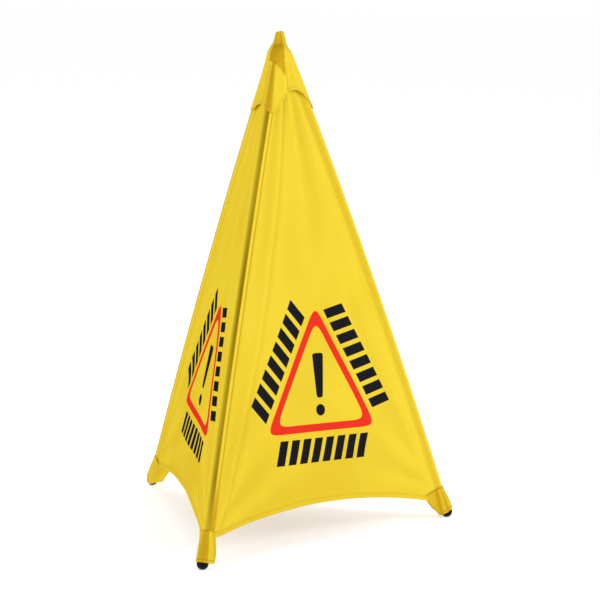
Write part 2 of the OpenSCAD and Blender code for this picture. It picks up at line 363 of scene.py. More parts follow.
def inside(n, distance, softness=0.25 * MM):
    """1 where distance is below zero, 0 outside, with a soft edge."""
    return n.ramp(distance, -softness, softness, 1.0, 0.0)


# The print on each side: a red triangle round a black exclamation mark, and a row of plain slanted
# blocks along each edge. Places are from the triangle's middle, x to the right and y down.
PRINT_ACROSS = 7 * MM
PRINT_ALONG = 563 * MM
PRINT_TURN = math.radians(3)
TRIANGLE_R = 66 * MM
TRIANGLE_BORDER = 12 * MM
TRIANGLE_ROUND = 30 * MM
ROW_GAP = 10 * MM
ROW_HEIGHT = 38 * MM
ROW_HALF = 96 * MM
BLOCK_PITCH = 24 * MM
BLOCK_SHARE = 0.68
BLOCK_LEAN = 0.3
MARK_TOP = -56 * MM
MARK_FOOT = 14 * MM
MARK_TOP_HALF = 11.5 * MM
MARK_FOOT_HALF = 6 * MM
MARK_ROUND = 8 * MM
DOT_Y = 33 * MM
DOT_R = 9 * MM


def turned(n, x, y, angle):
    c, s = math.cos(angle), math.sin(angle)
    return n.plus(n.times(x, c), n.times(y, s)), n.less(n.times(y, c), n.times(x, s))


def print_masks(n):
    """Where the red ink and the black ink lie, from each point's place on the cut cloth."""
    across = n.less(n.value("across"), PRINT_ACROSS)
    along = n.less(n.value("along"), PRINT_ALONG)
    x, y = turned(n, across, along, PRINT_TURN)
    edges, blocks = [], []
    for turn in (0, 120, 240):
        out, side = turned(n, y, x, math.radians(turn))
        edge = n.less(out, TRIANGLE_R)
        edges.append(edge)
        row_middle = n.less(edge, ROW_GAP + ROW_HEIGHT / 2)
        in_row = inside(n, n.less(n.size(row_middle), ROW_HEIGHT / 2))
        slanted = n.plus(side, n.times(row_middle, BLOCK_LEAN))
        in_length = inside(n, n.less(n.size(slanted), ROW_HALF))
        step = n.math("FRACT", n.math("DIVIDE", slanted, BLOCK_PITCH))
        from_middle = n.size(n.less(step, 0.5))
        over = n.times(n.less(from_middle, BLOCK_SHARE / 2), BLOCK_PITCH)
        block = inside(n, over)
        blocks.append(n.times(n.times(in_row, in_length), block))

    outer = n.math("SMOOTH_MAX", edges[0], edges[1], TRIANGLE_ROUND)
    outer = n.math("SMOOTH_MAX", outer, edges[2], TRIANGLE_ROUND)
    middle = n.size(n.plus(outer, TRIANGLE_BORDER / 2))
    red = inside(n, n.less(middle, TRIANGLE_BORDER / 2))

    half = n.ramp(y, MARK_TOP, MARK_FOOT, MARK_TOP_HALF, MARK_FOOT_HALF)
    flank = n.less(n.size(x), half)
    ends = n.math("MAXIMUM", n.less(MARK_TOP, y), n.less(y, MARK_FOOT))
    bar = inside(n, n.math("SMOOTH_MAX", flank, ends, MARK_ROUND))
    down = n.less(y, DOT_Y)
    reach = n.math("SQRT", n.plus(n.times(x, x), n.times(down, down)))
    dot = inside(n, n.less(reach, DOT_R))

    black = n.math("MAXIMUM", bar, dot)
    for block in blocks:
        black = n.math("MAXIMUM", black, block)
    printed = n.value("printed")
    return n.times(red, printed), n.times(black, printed)


YELLOW = (0.84, 0.625, 0.04, 1)
YELLOW_DEEP = (0.76, 0.50, 0.012, 1)
# Colour that the painted shade in the folds, hollows, hems and seams mixes towards
FOLD_SHADE_COLOUR = (0.53, 0.27, 0.002, 1)
# Colour of the painted shade where the dark rods show through the cloth
ROD_SHADE_OLIVE = (0.27, 0.165, 0.004, 1)
RED = (0.80, 0.035, 0.018, 1)
BLACK = (0.012, 0.012, 0.015, 1)
THREAD_PITCH = 0.55 * MM


def weave(n):
    """Height of a plain weave, from the place on the cut cloth."""
    rate = 2 * math.pi / THREAD_PITCH
    warp = n.math("SINE", n.times(n.value("across"), rate))
    weft = n.math("SINE", n.times(n.value("along"), rate))
    return n.times(warp, weft)


def cloth_material(name, with_print):
    n = Nodes(name)
    where = n.place()
    cut = n.run("ShaderNodeCombineXYZ", n.value("across"), n.value("along"))
    broad = n.noise(where, 7.0, 2.0)
    fine = n.noise(cut, 260.0, 4.0, 0.6)
    streaks = n.noise(cut, 90.0, 3.0, 0.55, stretch=(6.0, 0.5, 1.0))
    colour = n.mix(n.ramp(broad, 0.35, 0.7, 0.0, 0.28), YELLOW, YELLOW_DEEP)
    colour = n.mix(n.ramp(streaks, 0.5, 0.8, 0.0, 0.26), colour, YELLOW_DEEP)
    colour = n.mix(n.ramp(fine, 0.45, 0.75, 0.0, 0.12), colour, YELLOW_DEEP)
    # Painted shade in the folds, hollows, hems and seams, from fold_shade
    colour = n.mix(n.times(n.value("fold_shade"), 0.9), colour, FOLD_SHADE_COLOUR)
    # Painted shade where the rods show through, from rod_shade
    colour = n.mix(n.value("rod_shade"), colour, ROD_SHADE_OLIVE)
    rough = n.ramp(fine, 0.3, 0.7, 0.52, 0.66)
    if with_print:
        red, black = print_masks(n)
        worn = n.ramp(n.noise(cut, 420.0, 4.0, 0.7), 0.62, 0.78, 1.0, 0.86)
        colour = n.mix(n.times(red, worn), colour, RED)
        colour = n.mix(n.times(black, worn), colour, BLACK)
        inked = n.math("MAXIMUM", red, black)
        rough = n.less(rough, n.times(inked, 0.08))
    n.set(Base_Color=colour, Roughness=rough, Specular_IOR_Level=0.0)
    n.bumps((weave(n), 0.25, 0.05 * MM), (fine, 0.12, 0.2 * MM), (streaks, 0.10, 0.3 * MM))
    return n.material


def thread_material():
    n = Nodes("sewing_thread")
    where = n.place()
    twist = n.noise(where, 900.0, 2.0)
    n.set(Base_Color=n.mix(twist, (0.76, 0.50, 0.015, 1), (0.86, 0.64, 0.05, 1)), Roughness=0.6)
    n.bumps((twist, 0.4, 0.1 * MM))
    return n.material


def glossy_foot_material():
    n = Nodes("glossy_black_foot")
    where = n.place()
    scuffs = n.noise(where, 190.0, 5.0, 0.65)
    split = n.add("ShaderNodeSeparateXYZ")
    n.put(split.inputs[0], where)
    near_floor = n.ramp(split.outputs[2], 0.0, 5 * MM, 1.0, 0.0)
    worn = n.times(n.ramp(scuffs, 0.45, 0.7), near_floor)
    n.set(Base_Color=n.mix(worn, (0.004, 0.004, 0.004, 1), (0.04, 0.038, 0.036, 1)))
    n.set(Roughness=n.ramp(scuffs, 0.3, 0.75, 0.18, 0.34), Specular_IOR_Level=0.1)
    n.bumps((scuffs, 0.06, 0.2 * MM))
    return n.material


def grained_material(name, dark, light, rough, grain, bump, cloud=None, metallic=0.0):
    """One noise marks the colour, the roughness and the bump, or another, cloud, the colour."""
    n = Nodes(name)
    where = n.place()
    marks = n.noise(where, **grain)
    patches = n.noise(where, **cloud) if cloud else marks
    n.set(Base_Color=n.mix(patches, dark, light), Metallic=metallic)
    n.set(Roughness=n.ramp(marks, 0.3, 0.7, *rough))
    n.bumps((marks, *bump))
    return n.material


printed_cloth = cloth_material("yellow_cloth_printed", True)
plain_cloth = cloth_material("yellow_cloth", False)
thread = thread_material()

# --- The cover
# Each sector is one sheet: from the middle of the side before a leg, over the sleeve on the leg, to
# the middle of the side after it.

CLOTH_T = 0.4 * MM
RIDGE_R = 5.3 * MM
SEAM_OFFSET = 2.2 * MM
SEAM_TURN = math.radians(84)
SEAM_X = 10.5 * MM
SEAM_STEP = 0.9 * MM
# Strength of the painted shade beside each leg's seam, along the sleeve's other edge and low on the
# sleeve
SEAM_SHADE = per_leg(1.0, 0.5, 0.3)
EDGE_SHADE = per_leg(0.0, 0.3, 0.0)
LOW_SHADE = per_leg(0.85, 0.1, 0.1)
COVER_TOP_Z = 0.745
# Height of each side's hem at its left end, in its middle and at its right end
HEM_Z = {
    1: (44 * MM, 62.5 * MM, 31 * MM),
    2: (46 * MM, 65 * MM, 42 * MM),
    3: (40 * MM, 62 * MM, 40 * MM),
}
HEM_HALF = 222 * MM
HEM_BAND = 7.8 * MM
ROUND_FROM, ROUND_OVER = 48, 24
RIGID_X = 16 * MM
FACE_STEPS = 44
SEAM_STITCH = 0.7
SEAM_STITCH_TOP_Z = 0.70
HEM_STITCH = 6.2
MAIN_ROWS = 150


def hem_height(face, u):
    left, middle, right = HEM_Z[face]
    s = np.clip(u / HEM_HALF, -1, 1)
    return middle + (right - left) / 2 * s + ((left + right) / 2 - middle) * s * s


def slant(z):
    """Distance down the middle of a side from the apex to height z."""
    return (APEX_Z - z) / math.cos(FACE_SLANT)


def face_sag(u, z, c):
    """The cloth hollows a little between the sleeves."""
    along = np.sin(math.pi * np.clip(slant(z) / 0.80, 0, 1))
    return -3.2 * MM * np.clip(1 - (u / c) ** 2, 0, 1) * along


def fold_line(d):
    """How far the long fold beside each sleeve lies from the side's edge, at slant d."""
    return 18 * MM + 40 * MM * np.sin(math.pi * np.clip((d - 0.06) / 0.72, 0, 1)) ** 0.75


def face_folds(face, u, z, c):
    """Outward offset of the tension folds that pull from the sleeves, the pockets and the hood.
    u is 0 at the middle of the side and c at its edges."""
    d = slant(z)
    left, right = c + u, c - u
    share = u / c
    line = fold_line(d)
    lift = MM * bump(left, line - 8 * MM, 7 * MM) - 1.4 * MM * bump(left, line, 3.6 * MM)
    lift += 0.6 * MM * bump(left, line + 9 * MM, 7 * MM)
    lift = lift + 1.1 * MM * bump(right, 0.6 * line, 8 * MM) - 0.9 * MM * bump(right, line, 8 * MM)
    # Soft folds that hang from the hood and fade
    hang = smooth((0.62 - d) / 0.4) * smooth((d - 0.06) / 0.08)
    hang *= np.sin(9.5 * share + 1.3 * face + 2.2 * d) * np.cos(3.1 * share - face)
    lift += 1.5 * MM * hang
    # Folds that fan from the two pockets
    for corner, phase in ((-1, 0.4), (1, 1.9)):
        across = u - corner * 0.252
        down = d - 0.762
        reach = np.hypot(across, down) + 1e-6
        angle = np.arctan2(-down, -corner * across)
        fan = np.sin(15 * angle + phase + 0.8 * face)
        fan *= smooth((reach - 0.02) / 0.06) * np.exp(-reach / 0.15)
        lift += 2.5 * MM * fan
    # The hem sways a little between its ends
    above = z - hem_height(face, u)
    sway = np.sin(2 * math.pi * u / 0.13 + 0.9 * face + 0.5)
    sway += 0.6 * np.sin(2 * math.pi * u / 0.071 + face)
    lift += 0.6 * MM * sway * np.exp(-above / 0.06)
    lift -= 4.0 * MM * np.clip(1 - share * share, 0, 1) * np.exp(-above / 0.09)
    # Faint slack over the rest of the side
    slack = np.sin(31 * u + 14 * d + face) * np.sin(17 * d - 11 * u + 2 * face)
    lift += MM * slack * smooth((d - 0.2) / 0.2)
    still = smooth((left - SEAM_X) / (12 * MM)) * smooth((right - SEAM_X) / (14 * MM))
    return lift * still * (0.4 + 0.6 * smooth(above / 0.05))


def seam_curve(t):
    """The turn of the cloth from the sleeve's round down to the side, as (x, y) on the side."""
    start = SEAM_TURN - math.radians(60)
    x0, y0 = RIDGE_R * math.sin(start), RIDGE_R * math.cos(start)
    x1 = x0 + (y0 - SEAM_OFFSET) / math.tan(start)
    a, b, c = (1 - t) ** 2, 2 * t * (1 - t), t * t
    return a * x0 + b * x1 + c * SEAM_X, a * y0 + b * SEAM_OFFSET + c * SEAM_OFFSET


def cover_columns():
    """Columns of a sector as (side, kind, value), from left to right as seen from outside."""
    shares = [0, 0.0015, 0.003, 0.005, 0.008, 0.013, *np.linspace(0.022, 0.985, FACE_STEPS)]
    shares += [0.9985, 1]
    turns = np.linspace(0, math.degrees(SEAM_TURN), 13)
    bends = (0.12, 0.25, 0.4, 0.55, 0.7, 0.85)
    left = [(-1, "face", f) for f in shares[::-1]]
    left += [(-1, "seam", t) for t in bends[::-1]]
    left += [(-1, "round", math.radians(a)) for a in turns[:0:-1]]
    right = [(1, "round", math.radians(a)) for a in turns]
    right += [(1, "seam", t) for t in bends]
    right += [(1, "face", f) for f in shares]
    return left + right


def cover_point(leg, side, kind, value, z, out=0.0):
    """A point of the cover on leg's sector at height z, moved outward by out, its distance u from
    the side's middle, and its share, which is 1 on the sleeve and 0 mid-face."""
    z = np.asarray(z, float)
    radius = leg_radius(z)
    c = radius * SIN_60
    if kind == "round":
        across = side * (RIDGE_R + out) * math.sin(value) + 0 * z
        outside = (RIDGE_R + out) * math.cos(value) + 0 * z
        u = -side * c
        share = np.ones_like(z)
    else:
        if kind == "seam":
            x, y = seam_curve(value)
            x, y = x + 0 * z, y + 0 * z
            u = -side * c
        else:
            x = SEAM_X + (c - SEAM_X) * value
            u = -side * (c - x)
            y = SEAM_OFFSET + face_sag(u, z, c) + face_folds(face_of(leg, side), u, z, c)
            if side > 0:
                past = x - SEAM_X
                y -= SEAM_STEP * smooth(past / (0.8 * MM)) * np.exp(-past / (12 * MM))
        y += out
        across = side * (0.5 * x + SIN_60 * y)
        outside = 0.5 * y - SIN_60 * x
        share = np.clip((c - x) / (c - RIGID_X), 0, 1)
    return around(leg_angle(leg), across, radius + outside, z), u, share


def face_of(leg, side):
    """The side of the cone that a half of leg's sector covers."""
    return leg if side > 0 else (leg + 1) % 3 + 1


def hem_of_column(leg, side, kind, value):
    """Height of the hem where a column meets it."""
    face = face_of(leg, side)
    if kind == "round":
        before, after = HEM_Z[face_of(leg, -1)][2], HEM_Z[face_of(leg, 1)][0]
        turn = side * value / SEAM_TURN
        return before + (after - before) * float(smooth((turn + 1) / 2))
    z = HEM_Z[face][0] if side > 0 else HEM_Z[face][2]
    for _ in range(5):
        _, u, _ = cover_point(leg, side, kind, value, z)
        z = float(hem_height(face, u))
    return z


# The turned hem, from the inside layer to the outside: height above the edge and outward offset,
# in millimetres
HEM_PROFILE = [
    (8.6, -1.5), (6.5, -1.45), (4.0, -1.4), (2.0, -1.35), (0.7, -1.25), (0.0, -0.9), (-0.25, -0.45),
    (0.0, 0.0), (0.7, 0.28), (2.0, 0.36), (4.0, 0.38), (6.2, 0.30), (7.2, 0.05), (7.8, -0.12),
    (8.4, 0.0), (9.6, 0.0), (12.0, 0.0),
]


def sheet_rows(profile, edge, first, top, steps):
    """Heights and outward offsets of a sheet's rows: its turned hem, and then from first to top."""
    rows = [(edge + above * MM, out * MM) for above, out in profile]
    return rows + [(first + (top - first) * s, 0.0) for s in steps]


def blend_to_leg(made):
    """Bakes the sheet's transform into its points."""
    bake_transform(made)


def cover_shade(leg, side, kind, value, z, u, above):
    """Painted shade along the hem, in the folds' valleys, beside the seam and low on the sleeve."""
    shade = 0.16 * smooth((HEM_BAND - above) / (1.2 * MM)) + 0.34 * bump(above, HEM_BAND, 0.9 * MM)
    c = leg_radius(z) * SIN_60
    if kind == "face":
        valley = np.clip(-face_folds(face_of(leg, side), u, z, c) / (2 * MM), 0, 1)
        shade = np.maximum(shade, 0.18 * valley)
    if kind == "face" and side > 0:
        d = slant(z)
        seam = SEAM_SHADE[leg] * bump(c + u, SEAM_X + MM, 1.7 * MM)
        crease = 0.08 + 0.26 * bump(d, 0.13, 0.06) + 0.2 * bump(d, 0.70, 0.08)
        crease *= bump(c + u, fold_line(d), 3 * MM)
        shade = np.maximum(shade, np.maximum(seam, crease))
    if kind != "face" and side > 0:
        turned = (math.degrees(value) - ROUND_FROM) / ROUND_OVER if kind == "round" else 1
        low = LOW_SHADE[leg] * smooth(turned) * smooth((0.16 - z) / 0.09)
        shade = np.maximum(shade, low)
    if kind != "round" and side < 0:
        x = c - u if kind == "face" else SEAM_X
        shade = np.maximum(shade, EDGE_SHADE[leg] * bump(x, SEAM_X, 3 * MM))
    return shade


def make_cover(leg):
    columns = cover_columns()
    steps = np.linspace(0, 1, MAIN_ROWS)[1:]
    points, values = [], []
    for side, kind, value in columns:
        hem = hem_of_column(leg, side, kind, value)
        first = hem + HEM_PROFILE[-1][0] * MM
        heights, outs = np.array(sheet_rows(HEM_PROFILE, hem, first, COVER_TOP_Z, steps)).T
        place, u, share = cover_point(leg, side, kind, value, heights)
        pushed, _, _ = cover_point(leg, side, kind, value, heights, 1.0)
        points.append(place + (pushed - place) * outs[:, None])
        printed = np.full_like(heights, kind == "face")
        rod = rod_shade(side, kind, value, heights)
        fold = cover_shade(leg, side, kind, value, heights, u, heights - hem)
        values.append((u, slant(heights), printed, rod, fold, share))
    points = np.stack(points, axis=1)
    *values, shares = np.array(values).transpose(1, 2, 0)
    faces = grid_faces(*points.shape[:2])
    made = new_object(f"cover_sector_{leg}", points, faces, printed_cloth)
    set_cloth_values(made, *values)
    blend_to_leg(made)
    thicken(made, CLOTH_T)
    return made, cover_stitches(leg, columns, points, shares)


def cover_stitches(leg, columns, points, shares):
    """One row along the sleeve's seam, and one along each half of the hem."""
    grids = (points, grid_normals(points), shares)
    seam = columns.index((1, "seam", SEAM_STITCH))
    low = points[:, seam, 2] < SEAM_STITCH_TOP_Z
    rows = [[grid[low, seam] for grid in grids]]
    hem = [above for above, _ in HEM_PROFILE].index(HEM_STITCH)
    for side in (-1, 1):
        half = [k for k, column in enumerate(columns) if column[:2] == (side, "face")]
        rows.append([grid[hem, half] for grid in grids])
    return make_stitches(f"cover_stitches_{leg}", rows)


# --- Stitching

STITCH_PITCH = 3.2 * MM
STITCH_LENGTH = 2.5 * MM
THREAD_R = 0.34 * MM
STITCH_RINGS = 5
STITCH_SIDES = 6


def grid_normals(points):
    """Outward direction at each point of a grid."""
    normals = np.cross(np.gradient(points, axis=1), np.gradient(points, axis=0))
    normals /= np.maximum(np.linalg.norm(normals, axis=2, keepdims=True), 1e-12)
    outside = np.sign(np.sum(normals[..., :2] * points[..., :2], axis=2, keepdims=True))
    return normals * np.where(outside == 0, 1, outside)


def make_stitches(name, rows):
    """Short raised threads along rows of (points, outward directions, shares of leg's turn)."""
    stations = np.linspace(-0.5, 0.5, STITCH_RINGS)
    radii = THREAD_R * np.array([0.3, 0.85, 1, 0.85, 0.3])
    lifts = THREAD_R * np.array([-0.5, 0.1, 0.4, 0.1, -0.5])
    round_turn = np.linspace(0, 2 * math.pi, STITCH_SIDES, endpoint=False)
    each = STITCH_RINGS * STITCH_SIDES
    points, shares = [], []
    for line, outs, along in rows:
        run = np.concatenate([[0], np.cumsum(np.linalg.norm(np.diff(line, axis=0), axis=1))])
        middles = np.arange(STITCH_PITCH / 2, run[-1] - STITCH_PITCH / 2, STITCH_PITCH)
        at = middles[:, None] + STITCH_LENGTH * stations
        centre, out = (
            np.stack([np.interp(at, run, k) for k in grid.T], axis=-1) for grid in (line, outs)
        )
        ahead = np.gradient(centre, axis=1)
        beside = np.cross(ahead, out)
        beside /= np.linalg.norm(beside, axis=-1, keepdims=True)
        rise = radii[:, None] * np.cos(round_turn) + lifts[:, None]
        wide = radii[:, None] * np.sin(round_turn)
        ring = centre[:, :, None] + out[:, :, None] * rise[..., None]
        ring = ring + beside[:, :, None] * wide[..., None]
        points.append(ring.reshape(-1, 3))
        shares.append(np.repeat(np.interp(middles, run, along), each))
    points, shares = np.concatenate(points), np.concatenate(shares)
    one = grid_faces(STITCH_RINGS, STITCH_SIDES, closed=True).tolist()
    one += [range(STITCH_SIDES - 1, -1, -1), range(each - STITCH_SIDES, each)]
    faces = [[v + first for v in f] for first in range(0, len(points), each) for f in one]
    made = new_object(name, points, faces, thread)
    blend_to_leg(made)
    return made


def rod_shade(side, kind, value, z):
    """Painted shade where the dark rod shows through the cloth that lies against it."""
    if kind != "round":
        return np.zeros_like(z)
    turn = math.degrees(value) * side
    strength = float(smooth((turn + 52) / 92) * smooth((90 - turn) / 24))
    fade = 0.90 + 0.10 * np.sin(19 * z + 0.4)
    low = 1 - 0.4 * smooth((0.14 - z) / 0.08)
    return strength * fade * low * smooth((z - 0.03) / 0.04)


# --- The hood over the hub

HOOD_TOP_Z = 0.7660
# Height of the hood's edge at angles round the axis, in degrees and millimetres: a point near each
# leg, and an arch over each side
HOOD_EDGE = [
    (-90, 668.5), (-84, 665.0), (-79, 664.3), (-74, 667.0), (-66, 672.5), (-58, 680.0),
    (-48, 687.0), (-32, 693.3), (-12, 697.8), (4, 696.4), (16, 692.0), (22, 684.0), (27, 672.0),
    (31, 665.3), (38, 666.5), (60, 680.3), (80, 690.7), (100, 694.9), (120, 689.1), (140, 670.5),
    (150, 660.0), (156, 658.0), (166, 661.0), (180, 666.0), (200, 671.5), (220, 675.0),
    (236, 676.0), (250, 674.5), (262, 672.5), (270, 668.5),
]
HOOD_T = 0.5 * MM
HOOD_COLUMNS = 180
HOOD_RINGS = 60
HOOD_STITCH_ROW = 6
# The crown rides the hub, and the three lobes are the rows under this one
HOOD_CROWN_ROW = 52
HOOD_STILL_Z = 0.738
# Where the top starts to draw together, over what height, and into how wide and flat an end
GATHER_Z = 0.7603
GATHER_OVER = 5.7 * MM
END_WIDE = 1.04
END_FLAT = 0.24
END_SHIFT = 0.6 * MM
# Height, distance of each corner's round from the axis, and radius of that round, in millimetres.
# Lower down, each round follows the sleeve of its leg.
HOOD_SHAPE = [
    (735, 21.4, 7.0), (741, 17.6, 8.8), (746, 14.0, 10.2), (753, 9.0, 12.0),
    (757, 6.2, 12.5), (760, 3.2, 12.7), (764, 0.8, 11.9), (768, 0.2, 10.5),
]
# Creases, as the angle at the top, the angle at the foot and the depth in millimetres
HOOD_CREASES = [(-38, -22, 1.3), (-12, 4, 1.2), (60, 78, 1.2), (110, 96, 1.0), (-140, -128, 1.2)]
# The hood's turned hem, as HEM_PROFILE
HOOD_HEM = [
    (5.5, -0.9), (3.0, -0.85), (1.0, -0.8), (0.0, -0.5), (-0.2, 0.0), (0.8, 0.3), (3.0, 0.35),
    (5.0, 0.05),
]
HOOD_HEM_TOP = 6.5 * MM
HOOD_HEM_SEAM = 4.8 * MM
# Offsets, in degrees or millimetres, of the five values that a softened corner is the mean of
SOFTEN = (-3, -1.5, 0, 1.5, 3)


def hood_size(z):
    """Distance of the corners' rounds from the axis, and their radius, smoothed along z."""
    heights, middles, rounds = (np.array(k) * MM for k in zip(*HOOD_SHAPE))
    middle, round_r = 0, 0
    for step in SOFTEN:
        at = z + step * MM
        on_leg = at < heights[0]
        corner = np.where(on_leg, leg_radius(at), np.interp(at, heights, middles))
        middle += corner / len(SOFTEN)
        round_r += np.interp(at, heights, rounds) / len(SOFTEN)
    return middle, round_r


def hood_outline(phi, z):
    """Radius of the hood, a triangle with round corners, and the turn from the nearest corner."""
    middle, round_r = hood_size(z)
    turn = (phi - leg_angle(1) + THIRD / 2) % THIRD - THIRD / 2
    flat = (middle * 0.5 + round_r) / np.cos(THIRD / 2 - np.abs(turn))
    beside = middle * np.sin(turn)
    on_round = middle * np.cos(turn) + np.sqrt(np.maximum(round_r**2 - beside**2, 0))
    reach = np.arctan2(round_r * SIN_60, middle + round_r * 0.5)
    return np.where(np.abs(turn) < reach, on_round, flat), turn


def from_angle(phi, degrees):
    """Signed turn, in degrees, from an angle round the axis."""
    return np.degrees(np.angle(np.exp(1j * (phi - np.radians(degrees)))))


def near(phi, degrees, width):
    """1 at an angle round the axis, falling to 0 over width degrees."""
    return np.exp(-((from_angle(phi, degrees) / width) ** 2))


def hood_edge(phi):
    """Height of the hood's edge at angle phi, with its corners softened."""
    angles, heights = np.array(HOOD_EDGE).T
    edge = 0
    for step in SOFTEN:
        at = (np.degrees(phi) + step + 90) % 360 - 90
        edge += np.interp(at, angles, heights) / len(SOFTEN)
    return edge * MM


def hood_folds(phi, turn, z):
    """Folds of the hood's cloth, and the hollows between the hub's cap and the sockets."""
    flat = (1 - np.cos(3 * turn)) * 0.5
    low = smooth((0.735 - z) / 0.05)
    folds = 1.3 * MM * low * flat * np.sin(7 * phi + 3 * np.sin(phi + 40 * z))
    folds += 0.35 * MM * np.sin(13 * phi + 45 * z + 0.7) * smooth((0.745 - z) / 0.01)
    folds -= 1.2 * MM * flat * bump(z, 0.741, 7 * MM)
    folds -= 1.5 * MM * near(phi, -52, 9) * bump(z, 0.731, 9 * MM)
    folds += 0.9 * MM * near(phi, -72, 10) * bump(z, 0.728, 9 * MM)
    # The fold down the front point, a step from the left to the right
    front = smooth((0.728 - z) / 0.012)
    folds += front * MM * (0.8 * near(phi, -77, 4) - 0.8 * near(phi, -87, 6))
    # The hood lies closer to the sides before and after the front leg
    hug = smooth((0.712 - z) / 0.02)
    folds -= hug * MM * (3.2 * near(phi, -132, 30) + 1.4 * near(phi, -36, 22))
    # Creases that fall from the hub's rim to the points
    rise = np.clip((0.742 - z) / 0.07, 0, 1)
    shown = smooth(rise / 0.15) * smooth((1.15 - rise) / 0.4)
    for start, end, depth in HOOD_CREASES:
        folds -= depth * MM * near(phi, start + (end - start) * rise, 6.5) * shown
    return folds


def hood_shade(phi, z):
    """Painted shade in the hollows, and on the hood's top below the tab."""
    turn = from_angle(phi, -75)
    top_shade = smooth((turn + 50) / 18) * smooth((40 - turn) / 5) * smooth((z - 0.7395) / 0.004)
    # A painted shade patch under that one, cut off along a slant
    slanted = 0.7365 - 0.40 * MM * (turn + 8)
    lower_shade_patch = smooth((turn + 34) / 14) * smooth((43 - turn) / 5) * smooth((z - slanted) / 0.003)
    lower_shade_patch = np.where(turn < -8, smooth((z - 0.7355) / 0.003), 1) * lower_shade_patch
    lower_shade_patch = lower_shade_patch * smooth((0.7424 - z) / 0.0015) * smooth((z - 0.7185) / 0.003)
    band = smooth((turn + 21) / 7) * smooth((-5 - turn) / 2.5) * smooth((0.742 - z) / 0.004)
    left = smooth((turn + 58) / 16) * smooth((-17 - turn) / 8) * smooth((0.742 - z) / 0.01)
    # Painted shade on the tops over legs 2 and 3
    others = 0.5 * (near(phi, 30, 30) + near(phi, 150, 24)) * smooth((z - 0.748) / 0.01)
    return np.clip(0.85 * top_shade + 0.8 * lower_shade_patch + 0.75 * band + 0.22 * left + others, 0, 1)


def hood_rods(phi, z):
    """Painted shade where the rods show through the hood too."""
    shown = sum(near(phi, math.degrees(leg_angle(i)) + 2.5, 4.6) for i in LEGS)
    return shown * smooth((0.742 - z) / 0.02) * (0.8 + 0.2 * np.sin(60 * z))


def make_hood():
    """The hood's crown, and for each leg its lobe and the lobe's stitches."""
    phi = np.linspace(0, 2 * math.pi, HOOD_COLUMNS, endpoint=False)
    edge = hood_edge(phi)
    steps = np.linspace(0, 1, HOOD_RINGS)
    rows = sheet_rows(HOOD_HEM, edge, edge + HOOD_HEM_TOP, HOOD_TOP_Z, steps)
    heights = np.stack([height for height, _ in rows])
    outs = np.array([[out] for _, out in rows])
    phis = np.broadcast_to(phi, heights.shape)
    radius, turns = hood_outline(phis, heights)
    flare = smooth(1 - (heights - edge) / (22 * MM)) * (1 - np.cos(3 * turns)) * 0.5
    flare = flare * MM * (0.8 + 3.2 * near(phis, 14, 14))
    radius = radius + outs + flare + hood_folds(phis, turns, heights)
    points = np.stack([radius * np.cos(phis), radius * np.sin(phis), heights], axis=-1)
    points = close_hood_top(points, heights)
    above = heights - edge
    # Painted shade along the hem's seam and over the hem, in the hollows, and where the rods show
    # through
    fold = 0.22 * bump(above, HOOD_HEM_SEAM, 0.9 * MM)
    fold += 0.08 * smooth((HOOD_HEM_SEAM - above) / MM)
    rods = hood_rods(phis, heights)
    fold = np.maximum(np.maximum(fold, hood_shade(phis, heights)), 0.72 * rods)
    values = np.stack([phis * 0.04, heights, 0.15 * rods, fold], axis=-1)
    shares = hood_shares(radius, turns, heights)
    crown = hood_piece("hood_crown", points[HOOD_CROWN_ROW:], values[HOOD_CROWN_ROW:], closed=True)
    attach(crown, "hub")
    grids = (points, grid_normals(points), shares)
    low = slice(0, HOOD_CROWN_ROW + 1)
    lobes = []
    for leg in LEGS:
        first = round((leg_angle(leg) - THIRD / 2) / (2 * math.pi) * HOOD_COLUMNS)
        part = np.arange(first, first + HOOD_COLUMNS // 3 + 1) % HOOD_COLUMNS
        lobe = hood_piece(f"hood_lobe_{leg}", points[low][:, part], values[low][:, part])
        blend_to_leg(lobe)
        line = [grid[HOOD_STITCH_ROW, part] for grid in grids]
        lobes.append((lobe, make_stitches(f"hood_stitches_{leg}", [line])))
    return crown, lobes


def hood_shares(radius, turns, heights):
    """Share of the leg's turn for each point of the hood: as the cover under it, and none over the
    hub.
    """
    half_side = leg_radius(heights) * SIN_60
    from_middle = radius * np.sin(THIRD / 2 - np.abs(turns))
    share = np.clip(from_middle / np.maximum(half_side - RIGID_X, 4 * MM), 0, 1)
    return share * smooth((HOOD_STILL_Z - heights) / (35 * MM)) ** 0.6


def hood_piece(name, points, values, closed=False):
    """A part of the hood from a grid of points and of (across, along, rod, fold)."""
    faces = capped_faces if closed else grid_faces
    made = new_object(name, points, faces(*points.shape[:2]), plain_cloth)
    across, along, rod, fold = np.moveaxis(values, -1, 0)
    set_cloth_values(made, across, along, rod=rod, fold=fold)
    thicken(made, HOOD_T)
    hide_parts("hood")
    return made


def close_hood_top(points, heights):
    """Draws the top of the hood together into a flat end as wide as the tab that is sewn in it."""
    gather = smooth((heights - GATHER_Z) / GATHER_OVER)[..., None]
    x, y = points @ outward(TAB_ANGLE), points @ sideways(TAB_ANGLE)
    wide = around(TAB_ANGLE, y * END_FLAT, x * END_WIDE + END_SHIFT, points[..., 2])
    return points * (1 - gather) + wide * gather


# --- The pull tab: a strip folded lengthwise into a shallow V and closed at its tip

TAB_ANGLE = leg_angle(1) + math.radians(108)
TAB_BASE_Z = 0.7630
TAB_TIP_Z = 0.7875
TAB_BASE_HALF = 11.6 * MM
TAB_TIP_HALF = 5.9 * MM
TAB_T = 2.0 * MM
TAB_COLUMNS = 24
TAB_ROWS = 22


